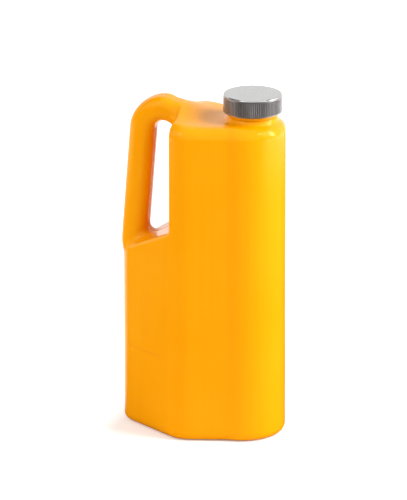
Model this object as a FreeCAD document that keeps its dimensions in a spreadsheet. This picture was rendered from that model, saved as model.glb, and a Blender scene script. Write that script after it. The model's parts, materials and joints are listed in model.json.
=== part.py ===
"""Two-litre polyethylene safety can: blow-moulded can, flame arrester and vented screw cap.

Own frame: +Z up, +X towards the neck, +Y to the left.  The origin is on the standing plane, in
the middle of the can's length and width.  Millimetres and degrees.
"""
import FreeCAD, Part

import math
import os

import Sketcher

DOC = FreeCAD.newDocument("safety_can")

# ------------------------------------------------------------------------------------ sizes

SIZES = [
    # can, seen from above
    ("body_length", 143.0),  # rear nose to front lobe
    ("lobe_radius", 37.2),  # front lobe, an upright cylinder
    ("mid_face_angle", 16.0),  # each middle face opens towards the rear by this
    ("mid_face_offset", 35.5),  # lobe's axis to a middle face, square to it
    ("rear_face_angle", 32.8),  # each rear face closes towards the nose by this
    ("nose_radius", 17.3),
    ("corner_radius", 27.0),  # between the middle face and the rear face
    ("waist_radius", 5.0),  # hollow corner between the lobe and a middle face
    # can, seen from the side
    ("body_height", 278.3),  # standing plane to the flat top
    ("shoulder_radius", 10.0),
    ("base_radius", 7.0),
    ("rear_wall_margin", 1.8),  # the wall that the fingers face, ahead of the corner's end
    ("rear_wall_edge_radius", 4.0),  # all round the wall but at the ledge
    ("ledge_height", 184.0),  # at the rear wall
    ("ledge_angle", 28.0),  # falls towards the rear by this
    ("ledge_edge_radius", 1.5),
    ("wall", 2.5),
    ("foot_rim", 13.0),  # width of the rim that the can stands on
    ("foot_rise", 2.5),  # the base is pushed up by this inside the rim
    # can, handle: a hollow bar along a bent centre line
    ("handle_thickness", 21.6),
    ("handle_width", 25.4),
    ("handle_corner", 8.5),
    ("handle_lean", 4.5),  # the grip leans forward by this
    ("handle_setback", 94.4),  # lobe's axis to the grip's centre line, at handle_level
    ("handle_level", 184.0),
    ("handle_foot_bend", 35.0),  # bend that takes the bar into the block
    ("handle_foot_level", 167.0),  # where that bend ends
    ("handle_foot_angle", 21.0),  # slope of the bar inside the block, off upright
    ("handle_foot_tail", 15.0),
    ("arch_top", 293.3),  # top of the handle
    ("arch_rear_bend", 20.2),  # centre line, up to the crest
    ("arch_front_bend", 20.0),  # centre line, past the crest
    ("arch_fall", 42.0),  # slope at which the bar runs into the shoulder
    ("arch_tail", 14.0),
    ("foot_blend", 6.0),  # hollow rounding between the handle and the ledge
    ("arch_blend", 11.0),  # and between the handle and the shoulder
    # neck
    ("neck_offset", 8.9),  # neck's axis ahead of the lobe's axis
    ("collar_radius", 21.5),
    ("collar_height", 7.3),
    ("collar_fillet", 4.5),
    ("neck_radius", 20.7),  # at the thread's root
    ("neck_height", 16.6),  # flat top to the lip
    ("neck_wall", 3.0),
    ("neck_depth", 14.0),  # the bore's straight part reaches this far below the flat top
    # thread of the neck and the cap
    ("thread_pitch", 4.0),
    ("thread_depth", 1.5),
    ("thread_root", 2.2),  # width of the ridge at its root
    ("thread_crest", 1.1),
    ("thread_lead_in", 2.0),  # collar to the middle of the ridge's lower end
    ("neck_turns", 1.5),
    ("cap_turns", 1.0),
    ("thread_clearance", 0.4),  # radial, between ridge and root
    # flame arrester
    ("rim_thickness", 0.8),  # flange's rim on the lip
    ("rim_radius", 20.2),
    ("spigot_length", 10.0),  # below the lip
    ("spigot_clearance", 0.3),
    ("spigot_wall", 2.5),
    ("oring_section", 1.45),  # diameter of the ring's section
    ("oring_level", 4.5),  # lip down to the middle of the ring
    ("oring_squash", 0.03),  # play left between the ring and what it seals
    ("tube_length", 120.0),
    ("tube_wall", 0.6),
    ("tube_fit", 0.05),
    ("tube_seat", 2.0),  # lip down to the tube's upper end
    ("hole_diameter", 5.0),
    ("hole_rows", 10.0),
    ("hole_columns", 10.0),
    ("hole_pitch", 10.0),
    ("gauze_wall", 0.4),
    ("end_cup_wall", 0.6),
    ("end_cup_height", 5.0),
    # cap
    ("cap_radius", 24.85),
    ("cap_gap", 7.8),  # flat top to the cap's lower edge
    ("cap_height", 15.3),
    ("cap_top_wall", 1.6),
    ("cap_edge", 1.3),  # rounding of the top edge
    ("knurl_count", 96.0),
    ("knurl_depth", 0.4),
    ("knurl_width", 1.1),
    ("knurl_lower_band", 0.8),
    ("knurl_upper_band", 2.4),
    # relief valve in the cap
    ("seal_thickness", 1.8),
    ("seal_width", 3.6),
    ("plate_thickness", 0.8),
    ("cup_radius", 8.4),  # inside the plate's cup
    ("cup_depth", 8.8),  # plate's underside down to the cup's outer floor
    ("washer_thickness", 0.6),
    ("washer_play", 0.2),
    ("pin_radius", 2.0),
    ("pin_play", 0.4),
    ("pin_tail", 1.4),  # pin below the clip
    ("clip_radius", 4.2),
    ("clip_thickness", 0.7),
    ("clip_groove", 0.5),
    ("clip_gap", 0.5),  # clip to the cup's floor
    ("clip_opening", 60.0),
    ("spring_wire", 1.1),
    ("spring_radius", 7.2),
    ("spring_turns", 4.0),
    ("end_play", 0.02),  # between the spring and its seats
]

sheet = DOC.addObject("Spreadsheet::Sheet", "Sizes")
for row, (alias, number) in enumerate(SIZES, start=1):
    sheet.set(f"A{row}", alias)
    sheet.set(f"B{row}", str(number))
    sheet.setAlias(f"B{row}", alias)
DOC.recompute()

# Levels and places that several pieces share, written as expressions of the sheet's cells.
LOBE_X = "(Sizes.body_length / 2 - Sizes.lobe_radius)"
NOSE_X = "(Sizes.nose_radius - Sizes.body_length / 2)"
NECK_X = f"({LOBE_X} + Sizes.neck_offset)"
MID_SIN, MID_COS = (f"{part}(Sizes.mid_face_angle * 1 deg)" for part in ("sin", "cos"))
REAR_SIN, REAR_COS = (f"{part}(Sizes.rear_face_angle * 1 deg)" for part in ("sin", "cos"))
CORNER_X = (  # axis of the round corner, tangent to the middle and the rear face
    f"(((Sizes.mid_face_offset - Sizes.corner_radius + {MID_SIN} * {LOBE_X}) * {REAR_COS}"
    f" - (Sizes.nose_radius - Sizes.corner_radius - {REAR_SIN} * {NOSE_X}) * {MID_COS})"
    " / sin((Sizes.mid_face_angle + Sizes.rear_face_angle) * 1 deg))")
WALL_X = f"({CORNER_X} - Sizes.corner_radius * {REAR_SIN} + Sizes.rear_wall_margin)"
TOP = "Sizes.body_height"
COLLAR_TOP = f"({TOP} + Sizes.collar_height)"
LIP = f"({TOP} + Sizes.neck_height)"
BORE = "(Sizes.neck_radius - Sizes.neck_wall)"
RIM_TOP = f"({LIP} + Sizes.rim_thickness)"
SPIGOT = f"({BORE} - Sizes.spigot_clearance)"
SPIGOT_BORE = f"({SPIGOT} - Sizes.spigot_wall)"
TUBE = f"({SPIGOT_BORE} - Sizes.tube_fit)"
GAUZE = f"({TUBE} - Sizes.tube_wall - Sizes.tube_fit)"
TUBE_TOP = f"({LIP} - Sizes.tube_seat)"
TUBE_FOOT = f"({TUBE_TOP} - Sizes.tube_length)"
CAP_FOOT = f"({TOP} + Sizes.cap_gap)"
CAP_TOP = f"({CAP_FOOT} + Sizes.cap_height)"
CAP_CEILING = f"({CAP_TOP} - Sizes.cap_top_wall)"
CAP_BORE = "(Sizes.neck_radius + Sizes.thread_depth + Sizes.thread_clearance)"
PLATE_FOOT = f"({RIM_TOP} + Sizes.seal_thickness)"
PLATE_TOP = f"({PLATE_FOOT} + Sizes.plate_thickness)"
CUP_FOOT = f"({PLATE_FOOT} - Sizes.cup_depth)"
CUP_FLOOR = f"({CUP_FOOT} + Sizes.plate_thickness)"
WASHER_FOOT = f"({CAP_CEILING} - Sizes.washer_thickness)"
CLIP_TOP = f"({CUP_FOOT} - Sizes.clip_gap)"
CLIP_FOOT = f"({CLIP_TOP} - Sizes.clip_thickness)"


# --------------------------------------------------------------------------- sketch helpers

def value(expression):
    """The number that an expression gives now; degrees for an angle."""
    result = sheet.evalExpression(expression)
    return float(getattr(result, "Value", result))


def vector(x, y, z=0.0):
    return FreeCAD.Vector(x, y, z)


def new_body(name):
    body = DOC.addObject("PartDesign::Body", name)
    body.Label = name
    return body


def new_sketch(body, name, plane, across=None, level=None):
    """Sketch on one of the body's planes, shifted along its own x and along its normal."""
    sketch = body.newObject("Sketcher::SketchObject", name)
    support = [f for f in body.Origin.OriginFeatures if f.Role == plane][0]
    sketch.AttachmentSupport = [(support, "")]
    sketch.MapMode = "FlatFace"
    if across is not None:
        sketch.setExpression("AttachmentOffset.Base.x", across)
    if level is not None:
        sketch.setExpression("AttachmentOffset.Base.z", level)
    return sketch


def bind(sketch, kind, places, expression):
    """Add one dimension and tie it to an expression."""
    start = value(expression)
    if kind == "Angle":
        start = math.radians(start)
    index = sketch.addConstraint(Sketcher.Constraint(kind, *places, start))
    sketch.setExpression(f"Constraints[{index}]", expression)


def relate(sketch, *relations):
    for relation in relations:
        sketch.addConstraint(Sketcher.Constraint(*relation))


def polygon(sketch, corners):
    """Closed straight-sided profile; each corner is a pair of expressions."""
    points = [vector(value(x), value(y)) for x, y in corners]
    count = len(points)
    lines = [sketch.addGeometry(Part.LineSegment(points[i], points[(i + 1) % count]))
             for i in range(count)]
    for i, line in enumerate(lines):
        relate(sketch, ("Coincident", line, 2, lines[(i + 1) % count], 1))
    for line, (x, y) in zip(lines, corners):
        bind(sketch, "DistanceX", (-1, 1, line, 1), x)
        bind(sketch, "DistanceY", (-1, 1, line, 1), y)


def extrude(body, kind, name, sketch, length, symmetric=False, reverse=False):
    """Pad or Pocket of a sketch, `length` being an expression."""
    feature = body.newObject(kind, name)
    feature.Profile = (sketch, [""])
    feature.Type = "Length"
    feature.SideType = "Symmetric" if symmetric else "One side"
    feature.Reversed = reverse
    feature.setExpression("Length", length)
    return feature


def revolve(body, kind, name, corners, across=NECK_X):
    """Revolution or Groove about the upright line at `across`; corners are (radius, z)."""
    sketch = new_sketch(body, f"{name}_profile", "XZ_Plane", across=across)
    polygon(sketch, corners)
    feature = body.newObject(kind, name)
    feature.Profile = (sketch, [""])
    feature.ReferenceAxis = (sketch, ["V_Axis"])
    feature.Angle = 360.0
    return feature


def turned(name, corners, angle=None):
    """A turned piece round the neck's axis."""
    body = new_body(name)
    feature = revolve(body, "PartDesign::Revolution", f"{name}_turning", corners)
    if angle is not None:
        feature.setExpression("Angle", angle)
    return body


def round_edges(body, name, radius, wanted):
    """Fillet, by the expression `radius`, the edges of the body's tip that `wanted` picks."""
    DOC.recompute()
    tip = body.Tip
    names = [f"Edge{i}" for i, edge in enumerate(tip.Shape.Edges, start=1) if wanted(edge)]
    feature = body.newObject("PartDesign::Fillet", name)
    feature.Base = (tip, names)
    feature.setExpression("Radius", radius)
    return feature


def upright(edge, x, y, reach=1.0):
    """Whether an edge is an upright line through (x, y), or through (x, -y)."""
    box = edge.BoundBox
    return (box.ZLength > 20 and box.XLength < 0.01 and box.YLength < 0.01
            and abs(box.Center.x - x) < reach and abs(abs(box.Center.y) - abs(y)) < reach)


def in_plane(edge, x):
    """Whether an edge lies in the upright plane at `x`."""
    return abs(edge.BoundBox.XMin - x) < 0.01 and abs(edge.BoundBox.XMax - x) < 0.01


# ------------------------------------------------------------------------------------- can

def outline(body, name, inset, level):
    """Plan outline of the can, moved in all round by `inset`, with its corners still sharp."""
    sketch = new_sketch(body, name, "XY_Plane", level=level)
    lobe, radius = value(LOBE_X), value("Sizes.lobe_radius")
    nose = value(NOSE_X)
    half = value("Sizes.mid_face_offset")
    waist, corner, rear = vector(lobe, radius), vector(lobe - 1.2 * half, 1.4 * half), \
        vector(nose - 1.8 * value("Sizes.nose_radius"), 0)

    def mirrored(point):
        return vector(point.x, -point.y)

    arc = sketch.addGeometry(Part.ArcOfCircle(
        Part.Circle(vector(lobe, 0), vector(0, 0, 1), radius), -math.pi / 2, math.pi / 2))
    middle = sketch.addGeometry(Part.LineSegment(waist, corner))
    back = sketch.addGeometry(Part.LineSegment(rear, corner))
    back_right = sketch.addGeometry(Part.LineSegment(rear, mirrored(corner)))
    middle_right = sketch.addGeometry(Part.LineSegment(mirrored(waist), mirrored(corner)))
    centre = sketch.addGeometry(Part.Point(vector(nose, 0)), True)
    relate(sketch,
           ("Coincident", middle, 1, arc, 2), ("Coincident", middle, 2, back, 2),
           ("Coincident", back, 1, back_right, 1), ("Coincident", back_right, 2, middle_right, 2),
           ("Coincident", middle_right, 1, arc, 1), ("PointOnObject", arc, 3, -1),
           ("PointOnObject", back, 1, -1), ("PointOnObject", centre, 1, -1),
           ("Symmetric", middle, 2, middle_right, 2, -1), ("Vertical", middle, 1, middle_right, 1))
    bind(sketch, "DistanceX", (-1, 1, arc, 3), LOBE_X)
    bind(sketch, "DistanceX", (-1, 1, centre, 1), NOSE_X)
    bind(sketch, "Radius", (arc,), f"Sizes.lobe_radius - {inset}")
    bind(sketch, "Angle", (middle,), "180 deg - Sizes.mid_face_angle * 1 deg")
    bind(sketch, "Angle", (back,), "Sizes.rear_face_angle * 1 deg")
    bind(sketch, "Distance", (arc, 3, middle), f"Sizes.mid_face_offset - {inset}")
    bind(sketch, "Distance", (centre, 1, back), f"Sizes.nose_radius - {inset}")
    return sketch


def handle_path(body, name):
    """Centre line of the handle, from inside the block over the arch into the shoulder."""
    sketch = new_sketch(body, name, "XZ_Plane")
    lean, foot, fall = (math.radians(value(f"Sizes.{size}"))
                        for size in ("handle_lean", "handle_foot_angle", "arch_fall"))
    foot_bend, rear_bend, front_bend = (value(f"Sizes.{size}") for size in (
        "handle_foot_bend", "arch_rear_bend", "arch_front_bend"))
    crest_z = value("Sizes.arch_top - Sizes.handle_thickness / 2")

    def grip(z):
        """Centre line of the grip at a level."""
        run = (z - value("Sizes.handle_level")) * math.tan(lean)
        return value(f"{LOBE_X} - Sizes.handle_setback") + run

    def about(centre, radius, angle):
        return centre + vector(radius * math.cos(angle), radius * math.sin(angle))

    low_z = value("Sizes.handle_foot_level")
    low = vector(grip(low_z), low_z)
    foot_centre = low + vector(foot_bend * math.cos(lean), -foot_bend * math.sin(lean))
    bend_foot = about(foot_centre, foot_bend, math.pi + foot)
    tail = bend_foot + vector(math.sin(foot), -math.cos(foot)) * value("Sizes.handle_foot_tail")
    arch_z = crest_z - rear_bend * (1 - math.sin(lean))
    high = vector(grip(arch_z), arch_z)
    arch_centre = high + vector(rear_bend * math.cos(lean), -rear_bend * math.sin(lean))
    crest = arch_centre + vector(0, rear_bend)
    front_centre = crest - vector(0, front_bend)
    bend_front = about(front_centre, front_bend, math.pi / 2 - fall)
    end = bend_front + vector(math.cos(fall), -math.sin(fall)) * value("Sizes.arch_tail")

    def arc(centre, radius, start, finish):
        circle = Part.Circle(centre, vector(0, 0, 1), radius)
        return sketch.addGeometry(Part.ArcOfCircle(circle, start, finish))

    foot_line = sketch.addGeometry(Part.LineSegment(tail, bend_foot))
    foot_arc = arc(foot_centre, foot_bend, math.pi - lean, math.pi + foot)
    grip_line = sketch.addGeometry(Part.LineSegment(low, high))
    rear_arc = arc(arch_centre, rear_bend, math.pi / 2, math.pi - lean)
    front_arc = arc(front_centre, front_bend, math.pi / 2 - fall, math.pi / 2)
    front_line = sketch.addGeometry(Part.LineSegment(bend_front, end))
    held = sketch.addGeometry(Part.Point(vector(grip(value("Sizes.handle_level")),
                                                value("Sizes.handle_level"))), True)
    relate(sketch,
           ("Tangent", foot_line, 2, foot_arc, 2), ("Tangent", foot_arc, 1, grip_line, 1),
           ("Tangent", grip_line, 2, rear_arc, 2), ("Tangent", rear_arc, 1, front_arc, 2),
           ("Tangent", front_arc, 1, front_line, 1), ("Vertical", rear_arc, 1, rear_arc, 3),
           ("PointOnObject", held, 1, grip_line))
    bind(sketch, "DistanceX", (-1, 1, held, 1), f"{LOBE_X} - Sizes.handle_setback")
    bind(sketch, "DistanceY", (-1, 1, held, 1), "Sizes.handle_level")
    bind(sketch, "Angle", (grip_line,), "90 deg - Sizes.handle_lean * 1 deg")
    bind(sketch, "Radius", (foot_arc,), "Sizes.handle_foot_bend")
    bind(sketch, "Radius", (rear_arc,), "Sizes.arch_rear_bend")
    bind(sketch, "Radius", (front_arc,), "Sizes.arch_front_bend")
    bind(sketch, "DistanceY", (-1, 1, grip_line, 1), "Sizes.handle_foot_level")
    bind(sketch, "DistanceY", (-1, 1, rear_arc, 1), "Sizes.arch_top - Sizes.handle_thickness / 2")
    bind(sketch, "Angle", (foot_line,), "90 deg + Sizes.handle_foot_angle * 1 deg")
    bind(sketch, "Distance", (foot_line,), "Sizes.handle_foot_tail")
    bind(sketch, "Angle", (front_line,), "-Sizes.arch_fall * 1 deg")
    bind(sketch, "Distance", (front_line,), "Sizes.arch_tail")
    return sketch


def rounded_rectangle(sketch, width, height, corner):
    """Rectangle about the sketch's origin, its four corners rounded."""
    x, y, r = value(width) / 2, value(height) / 2, value(corner)
    lines = [sketch.addGeometry(Part.LineSegment(vector(*start), vector(*finish)))
             for start, finish in (((-x + r, -y), (x - r, -y)), ((x, -y + r), (x, y - r)),
                                   ((x - r, y), (-x + r, y)), ((-x, y - r), (-x, -y + r)))]
    centres = ((x - r, -y + r), (x - r, y - r), (-x + r, y - r), (-x + r, -y + r))
    arcs = [sketch.addGeometry(Part.ArcOfCircle(
        Part.Circle(vector(*centre), vector(0, 0, 1), r), start, start + math.pi / 2))
        for centre, start in zip(centres, (-math.pi / 2, 0, math.pi / 2, math.pi))]
    for i in range(4):
        relate(sketch, ("Tangent", lines[i], 2, arcs[i], 1),
               ("Tangent", arcs[i], 2, lines[(i + 1) % 4], 1))
    relate(sketch, ("Horizontal", lines[0]), ("Vertical", lines[1]),
           ("Symmetric", lines[0], 1, lines[2], 1, -1, 1), ("Equal", arcs[0], arcs[1]),
           ("Equal", arcs[0], arcs[2]), ("Equal", arcs[0], arcs[3]))
    bind(sketch, "Radius", (arcs[0],), corner)
    bind(sketch, "DistanceX", (-1, 1, lines[1], 1), f"({width}) / 2")
    bind(sketch, "DistanceY", (-1, 1, lines[2], 1), f"({height}) / 2")


def handle_bar(body, inset):
    """Sweep the handle's section, `inset` smaller all round, along its centre line."""
    path = handle_path(body, f"{body.Name}_handle_path")
    section = body.newObject("Sketcher::SketchObject", f"{body.Name}_handle_section")
    section.AttachmentSupport = [(path, "Edge1")]
    section.MapMode = "NormalToEdge"
    rounded_rectangle(section, f"Sizes.handle_width - 2 * {inset}",
                      f"Sizes.handle_thickness - 2 * {inset}", f"Sizes.handle_corner - {inset}")
    bar = body.newObject("PartDesign::AdditivePipe", f"{body.Name}_handle_bar")
    bar.Profile = (section, [""])
    bar.Spine = (path, [])
    return bar


def torso(body, inset):
    """Lobed column with its rear step, `inset` smaller all round; all but handle and neck."""
    name = body.Name
    extrude(body, "PartDesign::Pad", f"{name}_column",
            outline(body, f"{name}_outline", inset, level=inset), f"{TOP} - 2 * {inset}")
    DOC.recompute()
    corners = {}
    for vertex in body.Tip.Shape.Vertexes:
        corners.setdefault((round(vertex.X, 3), round(abs(vertex.Y), 3)), None)
    rear, corner, waist = sorted(corners)
    round_edges(body, f"{name}_nose", f"Sizes.nose_radius - {inset}",
                lambda edge: upright(edge, *rear))
    round_edges(body, f"{name}_corners", f"Sizes.corner_radius - {inset}",
                lambda edge: upright(edge, *corner))
    round_edges(body, f"{name}_waist", f"Sizes.waist_radius + {inset}",
                lambda edge: upright(edge, *waist))
    round_face(body, f"{name}_shoulder", f"Sizes.shoulder_radius - {inset}",
               value(f"{TOP} - {inset}"))

    wall_x = f"({WALL_X} + {inset})"
    fall = "tan(Sizes.ledge_angle * 1 deg)"
    ledge = f"(Sizes.ledge_height + {inset} * {fall} - {inset} / cos(Sizes.ledge_angle * 1 deg))"
    beyond, above = "(-Sizes.body_length)", "(2 * Sizes.body_height)"
    step = new_sketch(body, f"{name}_step_profile", "XZ_Plane")
    polygon(step, [(wall_x, ledge), (wall_x, above), (beyond, above),
                   (beyond, f"{ledge} - ({wall_x} - {beyond}) * {fall}")])
    extrude(body, "PartDesign::Pocket", f"{name}_step", step, "4 * Sizes.body_length",
            symmetric=True)
    DOC.recompute()
    wall, foot = value(wall_x), value(ledge)
    round_edges(body, f"{name}_wall_edge", f"Sizes.rear_wall_edge_radius - {inset}",
                lambda edge: in_plane(edge, wall) and edge.BoundBox.ZMax > foot + 1)


def flat_face_edges(shape, level, tilt=0.0):
    """Edges of the plane face whose highest edge lies at `level` and that tilts by `tilt`."""
    slope = math.cos(math.radians(tilt))
    for face in shape.Faces:
        if (face.Surface.TypeId == "Part::GeomPlane"
                and abs(abs(face.normalAt(0, 0).z) - slope) < 1e-4
                and (level is None or abs(face.BoundBox.ZMax - level) < 1e-4)):
            return face.Edges
    raise ValueError(f"no plane face at level {level} with tilt {tilt}")


def round_face(body, name, radius, level, tilt=0.0):
    """Fillet every edge of one plane face of the body's tip."""
    DOC.recompute()
    edges = flat_face_edges(body.Tip.Shape, level, tilt)
    return round_edges(body, name, radius, lambda edge: any(edge.isSame(e) for e in edges))


def foot_recess(body, inset, level):
    """Push the base up inside its rim; `inset` is the wall's share in the cavity."""
    sketch = outline(body, f"{body.Name}_foot_outline", f"(Sizes.foot_rim - {inset})", level)
    return extrude(body, "PartDesign::Pocket", f"{body.Name}_foot_recess", sketch,
                   "Sizes.foot_rise", reverse=True)


def is_sharp(shape, edge, angle=5.0):
    """Whether two faces meet at an edge with a corner of more than `angle` degrees."""
    faces = [face for face in shape.Faces if any(edge.isSame(other) for other in face.Edges)]
    if len(faces) != 2:
        return False
    point = edge.valueAt((edge.FirstParameter + edge.LastParameter) / 2)
    normals = [face.normalAt(*face.Surface.parameter(point)) for face in faces]
    return math.degrees(normals[0].getAngle(normals[1])) > angle


def blend(body, name, radius, box):
    """Fillet the sharp edges of the body's tip that lie inside a box of two corners."""
    DOC.recompute()
    shape = body.Tip.Shape
    inside = FreeCAD.BoundBox(*box)
    return round_edges(body, name, radius,
                       lambda edge: inside.isInside(edge.BoundBox) and is_sharp(shape, edge))


def thread_ridge(body, name, root, inward, start, turns):
    """Helical ridge on the radius `root`, its lower end centred on the level `start`."""
    sketch = new_sketch(body, f"{name}_profile", "XZ_Plane", across=NECK_X)
    side = "-1" if inward else "1"
    buried = f"{root} - {side} * Sizes.thread_depth / 4"
    tip = f"{root} + {side} * Sizes.thread_depth"
    polygon(sketch, [(buried, f"{start} - Sizes.thread_root / 2"),
                     (tip, f"{start} - Sizes.thread_crest / 2"),
                     (tip, f"{start} + Sizes.thread_crest / 2"),
                     (buried, f"{start} + Sizes.thread_root / 2")])
    ridge = body.newObject("PartDesign::AdditiveHelix", name)
    ridge.Profile = (sketch, [""])
    ridge.ReferenceAxis = (sketch, ["V_Axis"])
    ridge.Mode = "pitch-turns-angle"
    ridge.setExpression("Pitch", "Sizes.thread_pitch")
    ridge.setExpression("Turns", turns)
    return ridge


def make_can():
    """Blow-moulded can: torso, hollow handle and threaded neck, less its cavity."""
    outer = new_body("can_outside")
    torso(outer, "0")
    round_face(outer, "ledge_edge", "Sizes.ledge_edge_radius", None,
               tilt=value("Sizes.ledge_angle"))
    round_face(outer, "base", "Sizes.base_radius", 0.0)
    foot_recess(outer, "0", "0")
    handle_bar(outer, "0")
    reach = value("Sizes.body_length")
    ledge, top = value("Sizes.ledge_height"), value(TOP)
    blend(outer, "handle_foot_blend", "Sizes.foot_blend",
          (-reach, -reach, value("Sizes.base_radius"), value(WALL_X) - 1, reach, ledge))
    blend(outer, "handle_arch_blend", "Sizes.arch_blend",
          (-reach, -reach, (ledge + top) / 2, value(LOBE_X), reach, top + 1))
    revolve(outer, "PartDesign::Revolution", "neck", [
        ("0", f"{TOP} - Sizes.neck_depth"), ("Sizes.collar_radius", f"{TOP} - Sizes.neck_depth"),
        ("Sizes.collar_radius", COLLAR_TOP), ("Sizes.neck_radius", COLLAR_TOP),
        ("Sizes.neck_radius", LIP), ("0", LIP)])
    neck_x, collar = value(NECK_X), value("Sizes.collar_radius + 0.5")
    blend(outer, "collar_blend", "Sizes.collar_fillet",
          (neck_x - collar, -collar, top - value("Sizes.shoulder_radius"),
           neck_x + collar, collar, top + 0.1))
    thread_ridge(outer, "neck_thread", "Sizes.neck_radius", False,
                 f"({COLLAR_TOP} + Sizes.thread_lead_in)", "Sizes.neck_turns")

    cavity = new_body("can_cavity")
    wall = "Sizes.wall"
    torso(cavity, wall)
    round_face(cavity, "cavity_base", f"Sizes.base_radius - {wall}", value(wall))
    foot_recess(cavity, wall, wall)
    handle_bar(cavity, wall)
    revolve(cavity, "PartDesign::Revolution", "bore", [
        ("0", f"{TOP} - Sizes.neck_depth"), (BORE, f"{TOP} - Sizes.neck_depth"),
        (BORE, f"{LIP} + {wall}"), ("0", f"{LIP} + {wall}")])

    can = DOC.addObject("Part::Cut", "can_body")
    can.Label = "can_body"
    can.Base, can.Tool = outer, cavity
    return can


# --------------------------------------------------------------------------- flame arrester

def make_oring():
    """Rubber ring in the flange's groove, sealing it in the neck."""
    ring = DOC.addObject("Part::Torus", "arrester_oring")
    ring.Label = "arrester_oring"
    ring.setExpression("Radius1", f"{BORE} - Sizes.oring_squash - Sizes.oring_section / 2")
    ring.setExpression("Radius2", "Sizes.oring_section / 2")
    ring.setExpression("Placement.Base.x", NECK_X)
    ring.setExpression("Placement.Base.z", f"{LIP} - Sizes.oring_level")
    return ring


def make_flange():
    """Turned ring that hangs in the neck by its rim, grooved for the rubber ring."""
    groove = f"({BORE} - 2 * Sizes.oring_squash - Sizes.oring_section)"
    half = "(Sizes.oring_section / 2 + Sizes.oring_squash)"
    middle = f"({LIP} - Sizes.oring_level)"
    foot = f"({LIP} - Sizes.spigot_length)"
    return turned("arrester_flange", [
        (SPIGOT_BORE, foot), (SPIGOT, foot),
        (SPIGOT, f"{middle} - {half}"), (groove, f"{middle} - {half}"),
        (groove, f"{middle} + {half}"), (SPIGOT, f"{middle} + {half}"),
        (SPIGOT, LIP), ("Sizes.rim_radius", LIP), ("Sizes.rim_radius", RIM_TOP),
        (SPIGOT_BORE, RIM_TOP)])


def make_tube():
    """Perforated tube of the arrester's basket."""
    body = turned("arrester_tube", [
        (f"{TUBE} - Sizes.tube_wall", TUBE_FOOT), (TUBE, TUBE_FOOT), (TUBE, TUBE_TOP),
        (f"{TUBE} - Sizes.tube_wall", TUBE_TOP)])
    column = new_sketch(body, "tube_holes", "XZ_Plane", across=NECK_X)
    rows = int(value("Sizes.hole_rows"))
    for row in range(rows):
        level = (f"{TUBE_FOOT} + (Sizes.tube_length - Sizes.hole_pitch * {rows - 1}) / 2"
                 f" + Sizes.hole_pitch * {row}")
        hole = column.addGeometry(Part.Circle(vector(0, value(level)), vector(0, 0, 1),
                                              value("Sizes.hole_diameter / 2")))
        relate(column, ("PointOnObject", hole, 3, -2))
        bind(column, "DistanceY", (-1, 1, hole, 3), level)
        bind(column, "Diameter", (hole,), "Sizes.hole_diameter")
    pocket = extrude(body, "PartDesign::Pocket", "tube_column", column, TUBE, reverse=True)
    pattern = body.newObject("PartDesign::PolarPattern", "tube_columns")
    pattern.Originals = [pocket]
    pattern.Axis = (column, ["V_Axis"])
    pattern.setExpression("Occurrences", "Sizes.hole_columns")
    body.Tip = pattern
    return body


def make_gauze():
    """Sleeve of fine wire gauze inside the tube, as one plain wall."""
    foot = f"({TUBE_FOOT} + Sizes.tube_fit)"
    return turned("arrester_gauze", [
        (f"{GAUZE} - Sizes.gauze_wall", foot), (GAUZE, foot), (GAUZE, TUBE_TOP),
        (f"{GAUZE} - Sizes.gauze_wall", TUBE_TOP)])


def make_end_cup():
    """Pressed cup that closes the basket's lower end."""
    inner = f"({TUBE} + Sizes.tube_fit)"
    outer = f"({inner} + Sizes.end_cup_wall)"
    floor = f"({TUBE_FOOT} - Sizes.end_cup_wall)"
    brim = f"({floor} + Sizes.end_cup_height)"
    return turned("arrester_end_cup", [
        ("0", floor), (outer, floor), (outer, brim), (inner, brim), (inner, TUBE_FOOT),
        ("0", TUBE_FOOT)])


# --------------------------------------------------------------------------- cap and valve

def make_cap():
    """Turned steel cap: threaded bore, rounded top edge and straight knurl."""
    body = turned("cap_shell", [
        ("0", CAP_CEILING), (CAP_BORE, CAP_CEILING), (CAP_BORE, CAP_FOOT),
        ("Sizes.cap_radius", CAP_FOOT), ("Sizes.cap_radius", CAP_TOP), ("0", CAP_TOP)])
    top = value(CAP_TOP)
    round_edges(body, "cap_top_edge", "Sizes.cap_edge", lambda edge: (
        edge.Curve.TypeId == "Part::GeomCircle" and edge.BoundBox.ZMin > top - 0.01))
    thread_ridge(body, "cap_thread", CAP_BORE, True,
                 f"({COLLAR_TOP} + Sizes.thread_lead_in + Sizes.thread_pitch / 2)",
                 "Sizes.cap_turns")
    groove = new_sketch(body, "knurl_profile", "XY_Plane", across=NECK_X,
                        level=f"{CAP_FOOT} + Sizes.knurl_lower_band")
    bottom, rim = "Sizes.cap_radius - Sizes.knurl_depth", "Sizes.cap_radius + Sizes.knurl_depth"
    polygon(groove, [(bottom, "0"), (rim, "-Sizes.knurl_width"), (rim, "Sizes.knurl_width")])
    cut = extrude(body, "PartDesign::Pocket", "knurl_groove", groove,
                  "Sizes.cap_height - Sizes.knurl_lower_band - Sizes.knurl_upper_band",
                  reverse=True)
    knurl = body.newObject("PartDesign::PolarPattern", "knurl")
    knurl.Originals = [cut]
    knurl.Axis = (groove, ["N_Axis"])
    knurl.setExpression("Occurrences", "Sizes.knurl_count")
    body.Tip = knurl
    return body


def make_pin():
    """Stud welded under the cap, grooved for its clip."""
    groove = "Sizes.pin_radius - Sizes.clip_groove"
    slack = "Sizes.end_play"
    foot = f"({CLIP_FOOT} - Sizes.pin_tail)"
    return turned("guide_pin", [
        ("0", foot), ("Sizes.pin_radius", foot),
        ("Sizes.pin_radius", f"{CLIP_FOOT} - {slack}"), (groove, f"{CLIP_FOOT} - {slack}"),
        (groove, f"{CLIP_TOP} + {slack}"), ("Sizes.pin_radius", f"{CLIP_TOP} + {slack}"),
        ("Sizes.pin_radius", CAP_CEILING), ("0", CAP_CEILING)])


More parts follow.
